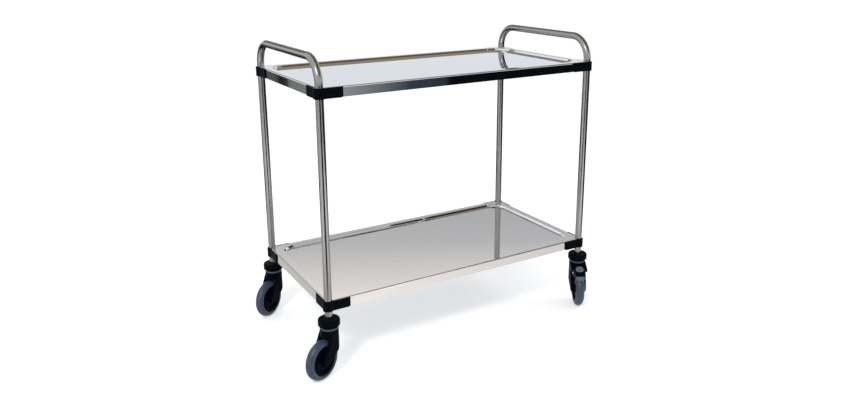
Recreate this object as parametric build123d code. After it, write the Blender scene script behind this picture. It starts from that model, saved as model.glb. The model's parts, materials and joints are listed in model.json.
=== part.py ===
from build123d import *
import os
from math import atan, cos, degrees, radians, sin, sqrt, tan

# Serving trolley: two tube hoops carry two pressed shelves in corner brackets, on four swivel castors.
# Millimetres. The origin is on the floor, in the middle of the four posts. X is the length and -Y the front.

# Hoops: each is one bent tube, two posts and the push bar between them
tube_diameter = 25.0
tube_wall = 1.5
post_pitch_x = 1026.0
post_pitch_y = 516.0
bar_rise = 116.0
bend_radius = 78.0

# Shelves: one pressed sheet each, with a sunken basin, a flat rim, a skirt and a hem
lower_shelf_rise = 28.0
shelf_spacing = 671.0
shelf_overhang = 8.0
sheet = 1.2
skirt_height = 32.0
skirt_edge_radius = 4.0
rim_width = 25.0
basin_depth = 9.0
basin_wall_run = 6.0
basin_corner_radius = 65.0
basin_lip_radius = 3.0
basin_foot_radius = 4.0
hem_width = 11.0
rim_notch_clearance = 1.0

# Corner brackets: a collar on the post and two wings that hold the skirt between them
collar_wall = 5.0
collar_clearance = 0.05
wing_reach = 72.0
wing_proud = 4.5
wing_gap = 0.1
inner_wing_reach = 64.0
inner_wing_thickness = 3.0
inner_wing_top = 5.0
wing_blend_radius = 14.0
wing_end_radius = 3.0
wing_low_corner_radius = 8.0
wing_high_corner_radius = 2.0
bracket_drop = 1.0
bracket_rim_step = 0.6
bracket_chamfer = 0.8

# Fasteners
screw_diameter = 4.0
screw_head_diameter = 7.5
screw_head_height = 2.4
screw_clearance = 0.1
screw_from_post = 46.0
screw_tip_cover = 1.4
screw_flat_depth = 1.1
post_screw_entry = 1.4

# Castors: heights are above the floor, the wheel trails the swivel axis
wheel_diameter = 132.0
trail = 40.0
tyre_width = 32.0
tyre_seat_diameter = 97.0
tyre_seat_width = 28.0
tyre_shoulder_diameter = 106.0

# Post foot: bumper, expander and stem
crown_height = 36.0
bumper_height = 25.0
bumper_diameter = 70.0
bumper_top_radius = 5.0
bumper_bottom_chamfer = 4.5
socket_depth = 12.0
seat_gap = 0.1
stem_diameter = 12.0
stem_clearance = 0.05
expander_length = 40.0
expander_slot = 2.0
expander_foot = 14.0
stem_nut_diameter = 19.0
stem_nut_height = 8.0
stem_head_diameter = 20.0
stem_head_height = 6.0
stem_head_recess = 4.0
stem_head_clearance = 1.0

# Swivel head
running_gap = 0.3
ring_diameter = 58.0
ring_height = 7.0
head_diameter = 60.0
head_height = 33.0
swivel_bearing_diameter = 32.0
swivel_bearing_height = 8.0

# Fork
leg_thickness = 9.5
tyre_side_gap = 4.0
arch_clearance = 5.0
leg_end_radius = 15.0
leg_lead_drop = 54.0
leg_root_rise = 8.0
leg_trail_x = 17.0
leg_shoulder_x = 6.0
leg_draw = 3.5
leg_draw_height = 45.0

# Wheel core, its bearings and the axle
hub_gap = 0.5
hub_diameter = 30.0
hub_bore_diameter = 16.0
web_width = 19.0
core_rim_inner_diameter = 84.0
core_groove_inner_diameter = 63.0
core_groove_width = 4.0
core_groove_depth = 3.0
bearing_diameter = 22.0
bearing_width = 7.0
axle_diameter = 8.0
axle_clearance = 0.05
axle_head_diameter = 13.0
axle_head_height = 3.5
axle_seat_wall = 2.5
cap_diameter = 17.0
cap_height = 2.4
cap_clearance = 0.1

# Brake: a rocking pedal on a pin between two ears of the fork
pin_behind_axle = 10.0
pin_above_wheel = 10.5
pin_diameter = 5.0
pin_clearance = 0.05
pin_cover = 3.0
pin_end_gap = 0.5
ear_radius = 7.5
pedal_side_gap = 2.5
pedal_thickness = 5.0
pedal_top_back = 1.0
pedal_top_rise = 16.0
pedal_foot_reach = 31.4
pedal_foot_drop = 14.2
pedal_corner_radius = 6.5
pedal_hub_radius = 6.0
pad_width = 28.0
pad_length = 22.0
pad_corner_radius = 9.5
pad_thickness = 2.0
pad_from_top = 14.0
lip_width = 30.0
lip_length = 17.0
lip_thickness = 5.5
lip_corner_radius = 10.0

# The corners, the way each one's castor trails at rest in degrees from +X, and the corners with a brake
castor_angles = {"front_left": -155.5, "rear_left": -145.5, "front_right": -122.0, "rear_right": -150.0}
braked_corners = ("front_right", "rear_right")

# Worked out from the sizes above: heights, from the floor up
wheel_radius = wheel_diameter / 2
bumper_bottom = wheel_diameter + crown_height
bumper_top = bumper_bottom + bumper_height
head_top = bumper_bottom - running_gap - ring_height
head_bottom = head_top - head_height
tube_foot = bumper_top - socket_depth + seat_gap
lower_shelf_height = bumper_top + lower_shelf_rise
upper_shelf_height = lower_shelf_height + shelf_spacing
bar_height = upper_shelf_height + bar_rise
shelf_heights = {"upper": upper_shelf_height, "lower": lower_shelf_height}
leg_lead_height = head_top - leg_lead_drop
leg_root_height = head_bottom + leg_root_rise
stem_head_bottom = head_bottom + stem_head_recess
pin_height = wheel_diameter + pin_above_wheel

# and widths and places
tube_radius = tube_diameter / 2
shelf_length = post_pitch_x + 2 * shelf_overhang
shelf_width = post_pitch_y + 2 * shelf_overhang
collar_radius = tube_radius + collar_wall
post_screw_flat = collar_radius - screw_flat_depth
slot_width = tyre_width + 2 * tyre_side_gap
fork_width = slot_width + 2 * leg_thickness
hub_half = slot_width / 2 - hub_gap
axle_seat = slot_width / 2 + axle_seat_wall
pin_x = trail + pin_behind_axle
pedal_width = slot_width - 2 * pedal_side_gap
pedal_slope = degrees(atan((pedal_top_rise + pedal_foot_drop) / (pedal_top_back + pedal_foot_reach)))
pedal_length = sqrt((pedal_top_rise + pedal_foot_drop) ** 2 + (pedal_top_back + pedal_foot_reach) ** 2)
pin_depth = pedal_top_rise * cos(radians(pedal_slope)) - pedal_top_back * sin(radians(pedal_slope))
low = (Align.CENTER, Align.CENTER, Align.MIN)
same_place = 0.01


def ring(outer_radius, inner_radius, height, z):
    tube = Cylinder(outer_radius, height, align=low) - Cylinder(inner_radius, height, align=low)
    return Pos(0, 0, z) * tube


def disc(radius, height, z):
    return Pos(0, 0, z) * Cylinder(radius, height, align=low)


def across(shape):
    # turns a piece made along Z so that it lies along Y
    return Rot(-90, 0, 0) * shape


def at_axle(shape):
    return Pos(trail, 0, wheel_radius) * shape


def side_plate(outline, width):
    # an outline drawn in X and Z, made a plate of this width about the middle
    return extrude(Plane.XZ * outline, amount=width / 2, both=True)


def post(corner):
    # the axis of this corner's post
    x = post_pitch_x / 2 if corner.endswith("right") else -post_pitch_x / 2
    y = post_pitch_y / 2 if corner.startswith("rear") else -post_pitch_y / 2
    return Pos(x, y, 0)


def post_corner(corner):
    # as post, turned so that +X and +Y lead into the shelf
    turns = {"front_left": 0, "front_right": 90, "rear_right": 180, "rear_left": 270}
    return post(corner) * Rot(0, 0, turns[corner])


def hoop(side):
    corners = (f"front_{side}", f"rear_{side}")
    front, rear = [post(corner).position for corner in corners]
    foot = Vector(0, 0, tube_foot)
    bar = Vector(0, 0, bar_height)
    path = FilletPolyline(front + foot, front + bar, rear + bar, rear + foot, radius=bend_radius)
    section = Circle(tube_radius) - Circle(tube_radius - tube_wall)
    tube = sweep(Pos(front + foot) * section, path=path)
    hole = Cylinder(screw_diameter / 2 + screw_clearance, tube_diameter, align=low)
    for corner in corners:
        for height in shelf_heights.values():
            tube -= Pos(0, 0, height) * post_corner(corner) * collar_screw_spot(0) * hole
    return tube


def basin_form(grow):
    # the sunken form, grown by a sheet thickness for the underside
    slope = atan(basin_wall_run / basin_depth)
    shift = grow / cos(slope)
    floor_inset = rim_width + basin_wall_run - shift + grow * tan(slope)
    floor_corner = basin_corner_radius - (floor_inset - rim_width)
    floor = RectangleRounded(shelf_length - 2 * floor_inset, shelf_width - 2 * floor_inset, floor_corner)
    floor_height = skirt_height - basin_depth - grow
    return extrude(Pos(0, 0, floor_height) * floor, amount=basin_depth + grow, taper=-degrees(slope))


def shelf_skin(inset):
    # the block under the sheet's outer face, or under its inner face when inset by the sheet
    height = skirt_height - inset
    block = Box(shelf_length - 2 * inset, shelf_width - 2 * inset, height, align=low)
    block = fillet(block.edges().group_by(Axis.Z)[-1], skirt_edge_radius - inset)
    block -= basin_form(inset)
    floor_height = skirt_height - basin_depth - inset
    foot = [e for e in block.edges() if abs(e.center().Z - floor_height) < same_place]
    block = fillet(foot, basin_foot_radius + inset)
    reach_x = (shelf_length - rim_width) / 2
    reach_y = (shelf_width - rim_width) / 2
    lip = [
        e for e in block.edges()
        if abs(e.bounding_box().min.Z - height) < same_place
        and max(abs(e.bounding_box().min.X), abs(e.bounding_box().max.X)) < reach_x
        and max(abs(e.bounding_box().min.Y), abs(e.bounding_box().max.Y)) < reach_y
    ]
    return fillet(lip, basin_lip_radius - inset)


def shelf():
    filling = shelf_skin(sheet)
    hem = Box(shelf_length, shelf_width, sheet, align=low)
    hem -= Box(shelf_length - 2 * hem_width, shelf_width - 2 * hem_width, sheet, align=low)
    tray = shelf_skin(0.0) - (filling - hem)
    rim_under = skirt_height - sheet
    notch = disc(tube_radius + rim_notch_clearance, skirt_height, 0)
    notch += disc(collar_radius + running_gap, rim_under, 0)
    hole = Cylinder(screw_diameter / 2 + screw_clearance, 6 * sheet)
    for corner in castor_angles:
        tray -= post(corner) * notch
        for spot in screw_spots():
            tray -= post_corner(corner) * spot * Pos(0, 0, -shelf_overhang) * hole
    return tray


def screw_spots():
    # on each wing, local Z runs from the skirt to the inside of the shelf
    mid = (skirt_height - inner_wing_top + sheet) / 2
    return [
        Pos(screw_from_post, 0, mid) * Rot(-90, 0, 0),
        Pos(0, screw_from_post, mid) * Rot(0, 90, 0),
    ]


def collar_screw_spot(out):
    # midway between the wings, this far from the post's axis, with local Z into the shelf
    return Pos(0, 0, skirt_height / 2) * Rot(0, 0, 45) * Pos(out, 0, 0) * Rot(0, 90, 0)


def face_corners(plan, face, along):
    # the corners of the bracket's plan on its outer faces, this far along the wings
    return [
        v for v in plan.vertices()
        if abs(min(v.X, v.Y) - face) < same_place and abs(max(v.X, v.Y) - along) < same_place
    ]


def bracket():
    # made for the left front corner, with the post axis at the origin and the shelf towards +X and +Y
    outer_face = -(shelf_overhang + wing_proud)
    thickness = wing_proud - wing_gap
    corner = (Align.MIN, Align.MIN)
    wing_x = Pos(0, outer_face) * Rectangle(wing_reach, thickness, align=corner)
    wing_y = Pos(outer_face, 0) * Rectangle(thickness, wing_reach, align=corner)
    plan = Circle(collar_radius) + wing_x + wing_y
    plan = fillet(face_corners(plan, outer_face, sqrt(collar_radius**2 - outer_face**2)), wing_blend_radius)
    plan = fillet(face_corners(plan, outer_face, wing_reach), wing_end_radius)
    top = skirt_height - bracket_rim_step
    body = extrude(Pos(0, 0, -bracket_drop) * plan, amount=top + bracket_drop)
    ends = body.edges().group_by(Axis.Z)
    body = chamfer(ends[0] + ends[-1], bracket_chamfer)
    # rounds the wing ends as seen from the front
    back = 2 * collar_radius
    middle = Pos((wing_reach - back) / 2, (top - bracket_drop) / 2)
    elevation = middle * Rectangle(wing_reach + back, top + bracket_drop)
    end_low = elevation.vertices().group_by(Axis.Y)[0].sort_by(Axis.X)[-1]
    elevation = fillet(end_low, wing_low_corner_radius)
    end_high = elevation.vertices().group_by(Axis.Y)[-1].sort_by(Axis.X)[-1]
    elevation = fillet(end_high, wing_high_corner_radius)
    envelope = side_plate(elevation, 4 * wing_reach)
    body &= envelope
    body &= mirror(Rot(0, 0, 90) * envelope, about=Plane.YZ)
    # inner wings behind the skirt
    inner_face = -shelf_overhang + sheet + wing_gap
    inner_plan = Pos(0, inner_face) * Rectangle(inner_wing_reach, inner_wing_thickness, align=corner)
    inner_plan += Pos(inner_face, 0) * Rectangle(inner_wing_thickness, inner_wing_reach, align=corner)
    inner_low = sheet + wing_gap
    body += extrude(Pos(0, 0, inner_low) * inner_plan, amount=skirt_height - inner_wing_top - inner_low)
    # room for the rim, the post and the screws
    rim_low = skirt_height - sheet - wing_gap
    over = Box(2 * wing_reach, 2 * wing_reach, skirt_height, align=(Align.MIN, Align.MIN, Align.MIN))
    body -= Pos(-shelf_overhang - wing_gap, -shelf_overhang - wing_gap, rim_low) * over
    body -= Pos(0, 0, -bracket_drop) * Cylinder(tube_radius + collar_clearance, 2 * skirt_height, align=low)
    shank = screw_diameter / 2 + screw_clearance
    tip = shelf_overhang + wing_proud - screw_tip_cover
    for spot in screw_spots():
        body -= spot * disc(shank, tip + inner_face + inner_wing_thickness, -tip)
    flat = collar_screw_spot(post_screw_flat)
    room = screw_head_diameter + 2 * screw_clearance
    body -= flat * Box(room, room, collar_radius, align=low)
    return body - flat * Cylinder(shank, collar_radius)


def screw(length):
    # the head stands on local Z = 0 and the shank runs down
    return disc(screw_head_diameter / 2, screw_head_height, 0) + disc(screw_diameter / 2, length, -length)


def shelf_screws():
    inner_face = -shelf_overhang + sheet + wing_gap + inner_wing_thickness
    length = shelf_overhang + wing_proud - screw_tip_cover + inner_face - screw_clearance
    return [spot * Pos(0, 0, inner_face) * screw(length) for spot in screw_spots()]


def post_screw():
    length = collar_wall - screw_flat_depth + tube_wall + post_screw_entry
    return collar_screw_spot(post_screw_flat) * screw(length)


def bumper():
    body = disc(bumper_diameter / 2, bumper_height, bumper_bottom)
    body = fillet(body.edges().group_by(Axis.Z)[-1], bumper_top_radius)
    body = chamfer(body.edges().group_by(Axis.Z)[0], bumper_bottom_chamfer)
    body -= disc(tube_radius + collar_clearance, socket_depth, bumper_top - socket_depth)
    return body - disc(stem_diameter / 2 + stem_clearance, bumper_height, bumper_bottom)


def expander():
    foot = tube_foot + seat_gap
    sleeve = ring(
        tube_radius - tube_wall - collar_clearance, stem_diameter / 2 + stem_clearance, expander_length, foot
    )
    slot = Box(tube_diameter, expander_slot, expander_length, align=low)
    for turn in (0, 90):
        sleeve -= Pos(0, 0, foot + expander_foot) * Rot(0, 0, turn) * slot
    return sleeve


def stem():
    sleeve_top = tube_foot + seat_gap + expander_length
    shank = disc(stem_diameter / 2, sleeve_top - stem_head_bottom, stem_head_bottom)
    nut = disc(stem_nut_diameter / 2, stem_nut_height, sleeve_top)
    nut = chamfer(nut.edges().group_by(Axis.Z)[-1], stem_nut_height / 4)
    head = extrude(
        Pos(0, 0, stem_head_bottom) * RegularPolygon(stem_head_diameter / 2, 6), amount=stem_head_height
    )
    return shank + nut + head


def swivel_ring():
    body = ring(ring_diameter / 2, stem_diameter / 2 + running_gap, ring_height, head_top)
    return chamfer(body.edges().group_by(Axis.Z)[-1].sort_by(SortBy.RADIUS)[-1], ring_height / 4)


def swivel_bearing():
    return ring(
        swivel_bearing_diameter / 2,
        stem_diameter / 2 + stem_clearance,
        swivel_bearing_height,
        head_top - swivel_bearing_height,
    )


def leg_front():
    # the fork from the front: straight sides that draw in towards the floor on a long curve
    half = fork_width / 2
    foot = wheel_radius - leg_end_radius
    curve = (leg_draw**2 + leg_draw_height**2) / (2 * leg_draw)
    above = head_top + head_height
    side = Line((half, above), (half, foot + leg_draw_height))
    side += RadiusArc((half, foot + leg_draw_height), (half - leg_draw, foot), curve)
    low_edge = Line((half - leg_draw, foot), (leg_draw - half, foot))
    high_edge = Line((-half, above), (half, above))
    return make_face(side + mirror(side, about=Plane.YZ) + low_edge + high_edge)


def fork_side(braked):
    # the legs, and the brake's ears, from the side
    lead = -head_diameter / 2
    outline = make_hull([
        *(Pos(trail, wheel_radius) * Circle(leg_end_radius)).edges(),
        Line((lead, leg_lead_height), (lead, head_top)),
        Line((leg_shoulder_x, head_top), (leg_trail_x, leg_root_height)),
    ])
    if braked:
        outline += make_hull([
            *(Pos(pin_x, pin_height) * Circle(ear_radius)).edges(),
            Line((0, head_bottom), (0, head_top)),
            Line((0, head_top), (head_diameter / 4, head_top)),
        ])
    return outline


def fork(braked):
    reach = trail + wheel_diameter
    plan = Circle(head_diameter / 2) + Rectangle(reach, fork_width, align=(Align.MIN, Align.CENTER))
    body = side_plate(fork_side(braked), head_diameter) & extrude(plan, amount=head_top)
    body &= extrude(Plane.YZ * leg_front(), amount=reach, both=True)
    body += disc(head_diameter / 2, head_height, head_bottom)
    # the wheel's slot and arch, and the room for the pedal
    body -= at_axle(across(Cylinder(wheel_radius + arch_clearance, slot_width)))
    body -= Box(2 * reach, slot_width, leg_lead_height, align=low)
    if braked:
        room = Box(reach, slot_width, head_top, align=(Align.MIN, Align.CENTER, Align.MIN))
        body -= Pos(head_diameter / 2, 0, 0) * room
        body -= at_pin(Cylinder(pin_diameter / 2 + pin_clearance, fork_width - 2 * pin_cover))
    # the swivel bearing's seat, the stem and its head
    seat = head_top - swivel_bearing_height
    body -= disc(swivel_bearing_diameter / 2 + stem_clearance, swivel_bearing_height, seat)
    body -= disc(stem_diameter / 2 + running_gap, head_top, 0)
    head_room = stem_head_bottom + stem_head_height + running_gap
    body -= disc(stem_head_diameter / 2 + stem_head_clearance, head_room, 0)
    # the axle and its caps
    body -= at_axle(across(Cylinder(axle_diameter / 2 + axle_clearance, fork_width)))
    cap_seat = Cylinder(cap_diameter / 2 + cap_clearance, fork_width, align=low)
    for turn in (0, 180):
        body -= at_axle(across(Rot(turn, 0, 0) * Pos(0, 0, axle_seat) * cap_seat))
    return body


def axle():
    body = Cylinder(axle_diameter / 2, 2 * axle_seat)
    head = extrude(RegularPolygon(axle_head_diameter / 2, 6), amount=axle_head_height)
    for turn in (0, 180):
        body += Rot(turn, 0, 0) * Pos(0, 0, axle_seat) * head
    return at_axle(across(body))


def axle_caps():
    cap = Cylinder(cap_diameter / 2, cap_height, align=low)
    cap = chamfer(cap.edges().group_by(Axis.Z)[-1], cap_height / 3)
    seat = axle_seat + axle_head_height + cap_clearance
    return [at_axle(across(Rot(turn, 0, 0) * Pos(0, 0, seat) * cap)) for turn in (0, 180)]


def spin(profile):
    # a half section with X as the radius and Y along the axle
    return at_axle(revolve(profile, Axis.Y))


def wheel_core():
    seat = tyre_seat_diameter / 2
    rim_inner = core_rim_inner_diameter / 2
    middle = (Align.MIN, Align.CENTER)
    profile = Rectangle(hub_diameter / 2, 2 * hub_half, align=middle)
    profile += Rectangle(seat, web_width, align=middle)
    profile += Pos(rim_inner, 0) * Rectangle(seat - rim_inner, tyre_seat_width, align=middle)
    profile -= Rectangle(hub_bore_diameter / 2, 2 * hub_half, align=middle)
    groove = Rectangle(core_groove_width, 2 * core_groove_depth, align=middle)
    bearing_seat = Rectangle(bearing_diameter / 2, bearing_width, align=middle)
    for side in (1, -1):
        profile -= Pos(core_groove_inner_diameter / 2, side * web_width / 2) * groove
        profile -= Pos(0, side * (hub_half - bearing_width / 2)) * bearing_seat
    return spin(profile)


def tyre():
    seat = tyre_seat_diameter / 2
    side = tyre_seat_width / 2
    shoulder = tyre_shoulder_diameter / 2
    half = tyre_width / 2
    outline = Polyline((shoulder, half), (seat, side), (seat, -side), (shoulder, -half))
    outline += ThreePointArc((shoulder, -half), (wheel_radius, 0), (shoulder, half))
    return spin(make_face(outline))


def wheel_bearings():
    bore = axle_diameter / 2 + axle_clearance
    race = ring(bearing_diameter / 2, bore, bearing_width, hub_half - bearing_width)
    return [at_axle(across(Rot(turn, 0, 0) * race)) for turn in (0, 180)]


def at_pin(shape):
    return Pos(pin_x, 0, pin_height) * across(shape)


def pedal_face(along):
    # a place on the pedal's face, this far down from its top edge, with local Z out of the face
    x = pin_x - pedal_top_back + along * cos(radians(pedal_slope))
    z = pin_height + pedal_top_rise - along * sin(radians(pedal_slope))
    return Pos(x, 0, z) * Rot(0, pedal_slope, 0)


def brake_pedal():
    plate = Box(pedal_length, pedal_width, pedal_thickness, align=(Align.MIN, Align.CENTER, Align.MAX))
    plate = fillet(plate.edges().filter_by(Axis.Z).group_by(Axis.X)[0], pedal_corner_radius)
    boss = Box(2 * pedal_hub_radius, pedal_width, pin_depth - pedal_thickness / 2, align=low)
    body = pedal_face(0) * plate + at_pin(Cylinder(pedal_hub_radius, pedal_width))
    body += Pos(pin_x, 0, pin_height) * Rot(0, pedal_slope, 0) * boss
    return body - at_pin(Cylinder(pin_diameter / 2 + pin_clearance, slot_width))


def pedal_pads():
    pad = extrude(RectangleRounded(pad_length, pad_width, pad_corner_radius), amount=pad_thickness)
    pad = chamfer(pad.edges().group_by(Axis.Z)[-1], pad_thickness / 3)
    lip = Box(lip_length, lip_width, lip_thickness, align=(Align.MIN, Align.CENTER, Align.CENTER))
    lip = fillet(lip.edges().filter_by(Axis.Z).group_by(Axis.X)[-1], lip_corner_radius)
    return [pedal_face(pad_from_top) * pad, pedal_face(pedal_length) * lip]


def pedal_pin():
    return at_pin(Cylinder(pin_diameter / 2, fork_width - 2 * pin_cover - 2 * pin_end_gap))


def castor(braked):
    pieces = {
        "fork": fork(braked),
        "swivel_ring": swivel_ring(),
        "swivel_bearing": swivel_bearing(),
        "axle": axle(),
        "axle_caps": Compound(children=axle_caps()),
        "wheel_core": wheel_core(),
        "tyre": tyre(),
        "wheel_bearings": Compound(children=wheel_bearings()),
    }
    if braked:
        pieces["brake_pedal"] = brake_pedal()
        pieces["pedal_pads"] = Compound(children=pedal_pads())
        pieces["pedal_pin"] = pedal_pin()
    return pieces


def build():
    nodes = {"hoop_left": hoop("left"), "hoop_right": hoop("right")}
    tray = shelf()
    corner_bracket = bracket()
    wing_screws = shelf_screws()
    collar_screw = post_screw()
    all_shelf_screws = []
    all_post_screws = []
    for level, height in shelf_heights.items():
        nodes[f"{level}_shelf"] = Pos(0, 0, height) * tray
        for corner in castor_angles:
            place = Pos(0, 0, height) * post_corner(corner)
            nodes[f"{level}_bracket_{corner}"] = place * corner_bracket
            all_shelf_screws += [place * s for s in wing_screws]
            all_post_screws.append(place * collar_screw)
    nodes["shelf_screws"] = Compound(children=all_shelf_screws)
    nodes["post_screws"] = Compound(children=all_post_screws)
    sleeves = []
    stems = []
    kinds = {braked: castor(braked) for braked in (False, True)}
    for corner, angle in castor_angles.items():
        nodes[f"bumper_{corner}"] = post(corner) * bumper()
        sleeves.append(post(corner) * expander())
        stems.append(post(corner) * stem())
        for piece, shape in kinds[corner in braked_corners].items():
            nodes[f"{piece}_{corner}"] = post(corner) * Rot(0, 0, angle) * shape
    nodes["post_expanders"] = Compound(children=sleeves)
    nodes["castor_stems"] = Compound(children=stems)
    return nodes


os.makedirs("parts", exist_ok=True)
for node, shape in build().items():
    export_step(shape, f"parts/{node}.step")
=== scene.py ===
import json
from math import cos, radians, sin

import bmesh
import bpy
from mathutils import Matrix, Vector

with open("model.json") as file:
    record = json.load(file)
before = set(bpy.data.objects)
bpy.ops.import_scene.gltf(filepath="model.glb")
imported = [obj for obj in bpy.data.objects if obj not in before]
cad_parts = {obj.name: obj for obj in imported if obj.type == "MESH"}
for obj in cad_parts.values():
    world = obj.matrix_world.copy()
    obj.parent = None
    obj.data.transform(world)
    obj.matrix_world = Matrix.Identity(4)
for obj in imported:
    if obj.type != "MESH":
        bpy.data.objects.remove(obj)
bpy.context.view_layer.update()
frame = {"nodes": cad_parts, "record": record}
nodes = frame["nodes"]
scene = bpy.context.scene
scene.view_settings.view_transform = "Standard"
print("frame:", len(nodes), "nodes")


# node tools

def hexColour(code):
    parts = [int(code[i:i + 2], 16) / 255 for i in (1, 3, 5)]
    return [c / 12.92 if c <= 0.04045 else ((c + 0.055) / 1.055) ** 2.4 for c in parts] + [1.0]


def perMm(size):  # texture scale for a feature of this size
    return 1000 / size


def addNode(tree, kind, settings, links=None):
    node = tree.nodes.new(kind)
    for name, value in settings.items():
        if isinstance(name, str) and hasattr(node, name):
            setattr(node, name, value)
        else:
            node.inputs[name].default_value = value
    for name, source in (links or {}).items():
        tree.links.new(source, node.inputs[name])
    return node


def blankTree(owner):  # of a material or a world
    owner.use_nodes = True
    owner.node_tree.nodes.clear()
    return owner.node_tree


def newMaterial(name, settings):
    material = bpy.data.materials.new(name)
    tree = blankTree(material)
    shader = addNode(tree, "ShaderNodeBsdfPrincipled", settings)
    addNode(tree, "ShaderNodeOutputMaterial", {}, {"Surface": shader.outputs[0]})
    return material, tree, shader


# a Mix node's inputs are 0 for the factor, 4 and 5 for vectors, 6 and 7 for colours
def tintAndDull(tree, shader, finish, tintBy, dullBy):
    first, second = (hexColour(code) for code in finish["colours"])
    tint = addNode(tree, "ShaderNodeMix", {"data_type": "RGBA", 6: first, 7: second}, {0: tintBy.outputs["Fac"]})
    low, high = finish["cloudSpread"]
    smooth, dull = finish["roughness"]
    rough = addNode(tree, "ShaderNodeMapRange", {"From Min": low, "From Max": high, "To Min": smooth, "To Max": dull},
                    {"Value": dullBy.outputs["Fac"]})
    tree.links.new(tint.outputs[2], shader.inputs["Base Color"])
    tree.links.new(rough.outputs[0], shader.inputs["Roughness"])


# rays that metal or glass sends on, which see the background white as the camera does
def mirrorRays(tree, path):
    either = {0: path.outputs["Is Glossy Ray"], 1: path.outputs["Is Transmission Ray"]}
    return addNode(tree, "ShaderNodeMath", {"operation": "MAXIMUM"}, either)


# mirror polished stainless sheet: shows the room sharply, a faint rolling grain runs along the shelf,
# wiping leaves cloudy patches and the thin sheet ripples a little
sheet = {
    "colours": ("#d9dce1", "#e5e8ec"), "roughness": (0.03, 0.06), "cloudSpread": (0.35, 0.7),
    "grain": 1.6, "grainLength": 120, "cloud": 70,  # mm
    "ripple": 260, "rippleHeight": 0.00008,  # mm across, m high
}


def polishedSheet():
    material, tree, shader = newMaterial("polishedStainlessSheet", {"Metallic": 1.0})
    place = addNode(tree, "ShaderNodeTexCoord", {}).outputs["Object"]
    stretch = sheet["grain"] / sheet["grainLength"]
    along = addNode(tree, "ShaderNodeMapping", {"Scale": (stretch, 1, 1)}, {"Vector": place})
    grain = addNode(tree, "ShaderNodeTexNoise", {"Scale": perMm(sheet["grain"]), "Detail": 3.0},
                    {"Vector": along.outputs[0]})
    cloud = addNode(tree, "ShaderNodeTexNoise", {"Scale": perMm(sheet["cloud"]), "Detail": 4.0}, {"Vector": place})
    ripple = addNode(tree, "ShaderNodeTexNoise", {"Scale": perMm(sheet["ripple"]), "Detail": 1.0}, {"Vector": place})
    bump = addNode(tree, "ShaderNodeBump", {"Strength": 1.0, "Distance": sheet["rippleHeight"]},
                   {"Height": ripple.outputs["Fac"]})
    tintAndDull(tree, shader, sheet, grain, cloud)
    tree.links.new(bump.outputs[0], shader.inputs["Normal"])
    return material


# ground stainless tube: the grinding runs round it, so reflections draw out into long light and dark stripes;
# the grinding lines are finer than this and are drawn coarse so that they show;
# the colour is darker than bare steel, because the floor and the cards are brighter than a real room
tube = {
    "colours": ("#959492", "#9c9b99"), "roughness": (0.12, 0.14), "cloudSpread": (0.35, 0.7), "drawOut": 0.9,
    "grain": 0.6, "grainLength": 14, "cloud": 35,  # mm
    "barHeight": 0.93, "bendRise": 0.078,  # m: where the bends begin and how far up they go
}


def groundTube():
    material, tree, shader = newMaterial("groundStainlessTube", {"Metallic": 1.0, "Anisotropic": tube["drawOut"]})
    place = addNode(tree, "ShaderNodeTexCoord", {}).outputs["Object"]
    height = addNode(tree, "ShaderNodeSeparateXYZ", {}, {"Vector": place})
    bendTop = tube["barHeight"] + tube["bendRise"]
    isBar = addNode(tree, "ShaderNodeMapRange", {"From Min": tube["barHeight"], "From Max": bendTop},
                    {"Value": height.outputs["Z"]})
    run = addNode(tree, "ShaderNodeMix", {"data_type": "VECTOR", 4: (0, 0, 1), 5: (0, 1, 0)}, {0: isBar.outputs[0]})
    squeeze = tube["grainLength"] / tube["grain"]
    postLines = addNode(tree, "ShaderNodeMapping", {"Scale": (1, 1, squeeze)}, {"Vector": place})
    barLines = addNode(tree, "ShaderNodeMapping", {"Scale": (1, squeeze, 1)}, {"Vector": place})
    lines = addNode(tree, "ShaderNodeMix", {"data_type": "VECTOR"},
                    {0: isBar.outputs[0], 4: postLines.outputs[0], 5: barLines.outputs[0]})
    grain = addNode(tree, "ShaderNodeTexNoise", {"Scale": perMm(tube["grainLength"]), "Detail": 2.0},
                    {"Vector": lines.outputs[1]})
    cloud = addNode(tree, "ShaderNodeTexNoise", {"Scale": perMm(tube["cloud"]), "Detail": 3.0}, {"Vector": place})
    tintAndDull(tree, shader, tube, grain, cloud)
    tree.links.new(run.outputs[1], shader.inputs["Tangent"])
    return material


# moulded polymers and rubber: a dull sheen broken by the mould's fine texture and by handling;
# texture and cloud are in mm, the texture's height in m
mouldings = {
    "black_plastic": {
        "name": "mouldedBlackPolyamide", "colours": ("#02060b", "#060d15"), "gloss": 0.02, "roughness": (0.3, 0.4),
        "texture": 1.1, "textureHeight": 0.00002, "cloud": 22, "cloudSpread": (0.3, 0.7),
    },
    "blue_grey_rubber": {
        "name": "mouldedGreyRubber", "colours": ("#2d3b50", "#37465c"), "gloss": 0.5, "roughness": (0.26, 0.34),
        "texture": 1.6, "textureHeight": 0.00003, "cloud": 18, "cloudSpread": (0.3, 0.7),
    },
    "blue_grey_plastic": {
        "name": "mouldedGreyPolyamide", "colours": ("#414e60", "#4c596b"), "gloss": 0.45, "roughness": (0.3, 0.42),
        "texture": 1.0, "textureHeight": 0.00002, "cloud": 14, "cloudSpread": (0.3, 0.7),
    },
    "grey_plastic": {
        "name": "mouldedGreyPad", "colours": ("#4e5661", "#5b646f"), "gloss": 0.45, "roughness": (0.36, 0.48),
        "texture": 1.0, "textureHeight": 0.00003, "cloud": 10, "cloudSpread": (0.3, 0.7),
    },
    "black_rubber": {
        "name": "mouldedBlackRubber", "colours": ("#101010", "#191919"), "gloss": 0.12, "roughness": (0.55, 0.7),
        "texture": 1.2, "textureHeight": 0.00003, "cloud": 12, "cloudSpread": (0.3, 0.7),
    },
}
polymerIor = 1.5
textureStrength = 0.6


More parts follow.
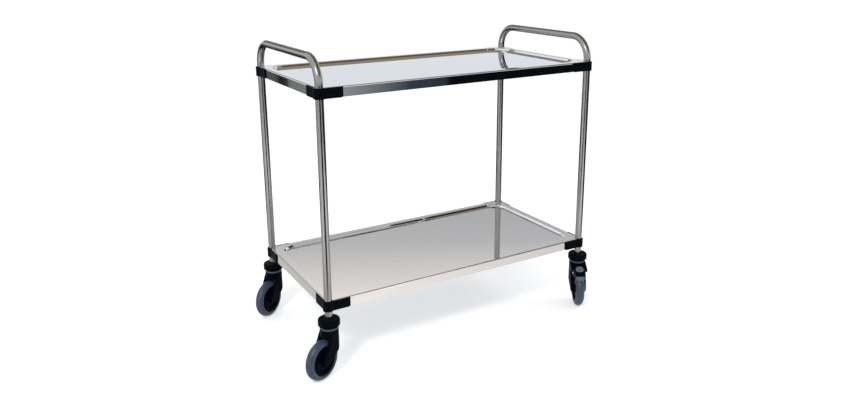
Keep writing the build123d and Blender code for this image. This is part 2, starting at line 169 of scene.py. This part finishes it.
def moulded(finish):
    material, tree, shader = newMaterial(finish["name"], {"IOR": polymerIor, "Specular IOR Level": finish["gloss"]})
    place = addNode(tree, "ShaderNodeTexCoord", {}).outputs["Object"]
    cloud = addNode(tree, "ShaderNodeTexNoise", {"Scale": perMm(finish["cloud"]), "Detail": 5.0}, {"Vector": place})
    texture = addNode(tree, "ShaderNodeTexNoise", {"Scale": perMm(finish["texture"]), "Detail": 2.0}, {"Vector": place})
    bump = addNode(tree, "ShaderNodeBump", {"Strength": textureStrength, "Distance": finish["textureHeight"]},
                   {"Height": texture.outputs["Fac"]})
    tintAndDull(tree, shader, finish, cloud, cloud)
    tree.links.new(bump.outputs[0], shader.inputs["Normal"])
    return material


# zinc plated steel: a grey sheen with the cloudy spangle of the plating
zinc = {"colours": ("#8f9193", "#b5b6b4"), "roughness": (0.28, 0.42), "cloud": 4, "cloudSpread": (0, 1)}


def zincSteel():
    material, tree, shader = newMaterial("zincPlatedSteel", {"Metallic": 1.0})
    place = addNode(tree, "ShaderNodeTexCoord", {}).outputs["Object"]
    cloud = addNode(tree, "ShaderNodeTexNoise", {"Scale": perMm(zinc["cloud"]), "Detail": 4.0}, {"Vector": place})
    tintAndDull(tree, shader, zinc, cloud, cloud)
    return material


finishes = {slot: moulded(finish) for slot, finish in mouldings.items()}
finishes["stainless_sheet"] = polishedSheet()
finishes["stainless_tube"] = groundTube()
finishes["steel_fastener"] = zincSteel()
for part in frame["record"]["subparts"]:
    nodes[part["node"]].material_slots[0].material = finishes[part["material_slot"]]
print("materials:", len(finishes))


# stage: a white floor under a white surround; the lifts bring the floor up to white for the camera and in mirrors
stage = {
    "floorSize": 60.0, "floorColours": ("#f2f2f2", "#ffffff"), "floorMottle": 500,  # m, then mm
    "floorLift": 0.37, "mirrorLift": 0.03,
    "worldLight": 0.75, "worldColour": "#f6f8fb",
}
white = (1, 1, 1, 1)


def cardMesh(name, corners):
    mesh = bpy.data.meshes.new(name)
    bm = bmesh.new()
    bm.faces.new([bm.verts.new(corner) for corner in corners])
    bm.to_mesh(mesh)
    bm.free()
    item = bpy.data.objects.new(name, mesh)
    scene.collection.objects.link(item)
    return item


def makeFloor():
    half = stage["floorSize"] / 2
    floor = cardMesh("floor", [(-half, -half, 0), (half, -half, 0), (half, half, 0), (-half, half, 0)])
    material = bpy.data.materials.new("paleFloor")
    tree = blankTree(material)
    place = addNode(tree, "ShaderNodeTexCoord", {}).outputs["Object"]
    mottle = addNode(tree, "ShaderNodeTexNoise", {"Scale": perMm(stage["floorMottle"]), "Detail": 3.0},
                     {"Vector": place})
    first, second = (hexColour(code) for code in stage["floorColours"])
    colour = addNode(tree, "ShaderNodeMix", {"data_type": "RGBA", 6: first, 7: second}, {0: mottle.outputs["Fac"]})
    matte = addNode(tree, "ShaderNodeBsdfDiffuse", {}, {"Color": colour.outputs[2]})
    glow = addNode(tree, "ShaderNodeEmission", {"Color": white})
    path = addNode(tree, "ShaderNodeLightPath", {})
    direct = addNode(tree, "ShaderNodeMath", {"operation": "MULTIPLY", 1: stage["floorLift"]},
                     {0: path.outputs["Is Camera Ray"]})
    lift = addNode(tree, "ShaderNodeMath", {"operation": "MULTIPLY_ADD", 1: stage["mirrorLift"]},
                   {0: mirrorRays(tree, path).outputs[0], 2: direct.outputs[0]})
    tree.links.new(lift.outputs[0], glow.inputs["Strength"])
    both = addNode(tree, "ShaderNodeAddShader", {}, {0: matte.outputs[0], 1: glow.outputs[0]})
    addNode(tree, "ShaderNodeOutputMaterial", {}, {"Surface": both.outputs[0]})
    floor.data.materials.append(material)


def makeWorld():
    world = bpy.data.worlds.new("whiteSurround")
    scene.world = world
    tree = blankTree(world)
    path = addNode(tree, "ShaderNodeLightPath", {})
    seen = addNode(tree, "ShaderNodeMath", {"operation": "MAXIMUM"},
                   {0: path.outputs["Is Camera Ray"], 1: mirrorRays(tree, path).outputs[0]})
    light = addNode(tree, "ShaderNodeBackground",
                    {"Color": hexColour(stage["worldColour"]), "Strength": stage["worldLight"]})
    backdrop = addNode(tree, "ShaderNodeBackground", {"Color": white, "Strength": 1.0})
    mix = addNode(tree, "ShaderNodeMixShader", {}, {0: seen.outputs[0], 1: light.outputs[0], 2: backdrop.outputs[0]})
    addNode(tree, "ShaderNodeOutputWorld", {}, {"Surface": mix.outputs[0]})


# cards round the trolley that only reflections show, painted reflections of a room's light and dark and of
# its highlights; in m: each has its corners, one colour or one for each corner, and a strength where that isn't 1
room = {
    "front": -4.2, "frontTop": 0.7, "streaks": -4.15, "right": 2.4, "left": -1.8, "leftTop": 0.75,
    "back": 1.2, "ceiling": 3.5, "darkFloor": 0.003, "warmFloor": 0.004, "stripes": 0.005,
}
frontLeftPost = (-0.513, -0.258)
frontRightPost = (0.513, -0.258)


def upright(start, end, low, high):
    return [(*start, low), (*end, low), (*end, high), (*start, high)]


def level(low, high, height):
    return [(low[0], low[1], height), (high[0], low[1], height), (high[0], high[1], height), (low[0], high[1], height)]


def frontCard(start, end, line="front"):
    return upright((start, room[line]), (end, room[line]), 0, room["frontTop"])


def leftCard(start, end):
    return upright((room["left"], start), (room["left"], end), 0, room["leftTop"])


# seen only in a post's reflection, this floor stripe paints a light stripe on the post
def ray(post, bearing, spread, near, far):  # a stripe on the floor that points at a post
    ends = [(far, bearing - spread), (far, bearing + spread), (near, bearing + spread), (near, bearing - spread)]
    return [(post[0] + r * cos(radians(a)), post[1] + r * sin(radians(a)), room["stripes"]) for r, a in ends]


cards = {
    "frontDusk": {"corners": frontCard(0.5, 2.0), "colours": ("#d2d5d9", "#39414a", "#39414a", "#d2d5d9")},
    "frontDark": {"corners": frontCard(2.0, 3.6), "colours": ("#39414a", "#030406", "#030406", "#39414a")},
    "frontBlack": {"corners": frontCard(3.6, 7.0), "colours": ("#030406",)},
    # painted reflections: thin grey streaks for the upper front skirt to reflect
    "frontStreak": {"corners": frontCard(3.14, 3.17, "streaks"), "colours": ("#5a5c5e",)},
    "frontSecondStreak": {"corners": frontCard(3.58, 3.61, "streaks"), "colours": ("#6a6c6a",)},
    "rightDark": {
        "corners": upright((room["right"], room["front"]), (room["right"], 2.0), 0, 0.8), "colours": ("#0d0f12",),
    },
    "rightDarkBack": {
        "corners": upright((room["right"], 0.3), (room["right"], 2.0), 0.8, 1.05), "colours": ("#0d0f12",),
    },
    "rightDarkFloor": {
        "corners": level((1.25, room["front"]), (room["right"], 2.0), room["darkFloor"]), "colours": ("#101216",),
    },
    "cameraDark": {"corners": upright((-1.94, -2.35), (-0.3, -2.35), 0, 0.75), "colours": ("#1c1d20",)},
    "cameraDarkFloor": {
        "corners": [(-1.94, -2.35, room["darkFloor"]), (-0.3, -2.35, room["darkFloor"]),
                    (-0.45, -0.85, room["darkFloor"]), (-0.93, -0.85, room["darkFloor"])],
        "colours": ("#1c1d20",),
    },
    "frontFloorWarm": {
        "corners": level((-0.5, -1.2), (1.2, -0.5), room["warmFloor"]),
        "colours": ("#fff8f1", "#d1c4c0", "#d1c4c0", "#fff8f1"), "strength": 1.21,
    },
    # painted highlights: floor stripes brighter than white, which the front posts reflect as light stripes
    "frontLeftPostStripe": {
        "corners": ray(frontLeftPost, -52, 5, 0.8, 2.6), "colours": ("#ffffff",), "strength": 2.3,
    },
    "frontLeftPostSideStripe": {
        "corners": ray(frontLeftPost, -162, 6, 0.8, 2.6), "colours": ("#ffffff",), "strength": 2.0,
    },
    "frontRightPostStripe": {
        "corners": ray(frontRightPost, -100, 6, 0.9, 2.4), "colours": ("#ffffff",), "strength": 2.0,
    },
    "leftFloorWarm": {"corners": level((-1.0, -0.9), (-0.58, 0.9), room["warmFloor"]), "colours": ("#d6d0c8",)},
    "backDarkFloor": {"corners": level((-2.2, 0.95), (0.75, 4.0), room["darkFloor"]), "colours": ("#17191c",)},
    "leftNear": {"corners": leftCard(1.3, 3.48), "colours": ("#7d827d",)},
    "leftPatch": {"corners": leftCard(3.48, 3.74), "colours": ("#1e2121",)},
    "leftFar": {"corners": leftCard(3.74, 7.0), "colours": ("#565a58",)},
    "keyGlow": {  # stands for the key lamp in reflections
        "corners": level((-3.6, -3.2), (-1.6, -1.2), 3.2), "colours": ("#ffffff",), "strength": 5,
    },
    "backWarm": {
        "corners": upright((-0.25, room["back"]), (2.0, room["back"]), 0.6, 1.03),
        "colours": ("#bfbcba", "#a6a7a8", "#bdbbba", "#fff4ea"), "strength": 1.14,
    },
    "backPale": {"corners": upright((0.6, 4.05), (5.5, 4.05), 1.0, 2.0), "colours": ("#ebeef2",)},
    "backBrown": {"corners": upright((-1.5, 4.0), (1.0, 4.0), 1.9, 3.4), "colours": ("#8d857b",)},
    "backBrownRight": {"corners": upright((1.0, 4.06), (5.5, 4.06), 2.0, 3.5), "colours": ("#968e84",)},
    "ceilingGold": {"corners": level((0.0, -1.9), (6.0, -0.87), room["ceiling"]), "colours": ("#6f583a",)},
    "ceilingBrown": {"corners": level((-0.6, -0.87), (4.0, 3.9), room["ceiling"]), "colours": ("#9f968b",)},
    "ceilingFrontPale": {"corners": level((-1.0, -5.0), (2.2, -1.9), room["ceiling"]), "colours": ("#cfc5be",)},
    "ceilingFrontDark": {"corners": level((2.2, -6.0), (5.5, -1.9), room["ceiling"]), "colours": ("#3d352d",)},
}


def makeCards():
    material = bpy.data.materials.new("paintedReflectionCard")
    tree = blankTree(material)
    shade = addNode(tree, "ShaderNodeAttribute", {"attribute_name": "shade"})
    glow = addNode(tree, "ShaderNodeEmission", {}, {"Color": shade.outputs["Color"]})
    addNode(tree, "ShaderNodeOutputMaterial", {}, {"Surface": glow.outputs[0]})
    for name, card in cards.items():
        item = cardMesh(name, card["corners"])
        shades = item.data.attributes.new("shade", "FLOAT_COLOR", "POINT")
        for i, spot in enumerate(shades.data):
            colour = hexColour(card["colours"][i % len(card["colours"])])
            spot.color = [part * card.get("strength", 1) for part in colour]
        item.visible_camera = False
        item.visible_diffuse = False
        item.visible_shadow = False
        item.data.materials.append(material)


# soft lamps: one over the left front, a weaker one at the right, both kept out of the reflections
lamps = {
    "keyLamp": {"place": (-2.6, -2.2, 3.2), "aim": (0, 0, 0.5), "size": 0.7, "power": 60},
    "sideLamp": {"place": (3.0, -1.2, 2.4), "aim": (0, 0, 0.5), "size": 1.2, "power": 25},
}


def makeLamps():
    for name, lamp in lamps.items():
        light = bpy.data.lights.new(name, "AREA")
        light.size = lamp["size"]
        light.energy = lamp["power"]
        item = bpy.data.objects.new(name, light)
        scene.collection.objects.link(item)
        item.visible_glossy = False
        item.location = lamp["place"]
        sight = Vector(lamp["aim"]) - Vector(lamp["place"])
        item.rotation_euler = sight.to_track_quat("-Z", "Y").to_euler()


# camera: yaw is to the right of +Y, in degrees; lens and sensor are in mm
camera = {
    "place": (-1.3343, -2.2593, 1.2947), "yaw": 30.586, "pitch": -14.904, "roll": -0.319,
    "lens": 31.57, "sensor": 36.0, "shift": -0.06, "reach": 200.0,
}


def makeCamera():
    data = bpy.data.cameras.new("camera")
    data.sensor_width = camera["sensor"]
    data.lens = camera["lens"]
    data.shift_y = camera["shift"]
    data.clip_end = camera["reach"]
    item = bpy.data.objects.new("camera", data)
    scene.collection.objects.link(item)
    yaw = Matrix.Rotation(radians(-camera["yaw"]), 4, "Z")
    pitch = Matrix.Rotation(radians(90 + camera["pitch"]), 4, "X")
    roll = Matrix.Rotation(radians(camera["roll"]), 4, "Z")
    item.matrix_world = Matrix.Translation(camera["place"]) @ yaw @ pitch @ roll
    scene.camera = item


makeFloor()
makeWorld()
makeCards()
makeLamps()
makeCamera()
print("stage and camera set")
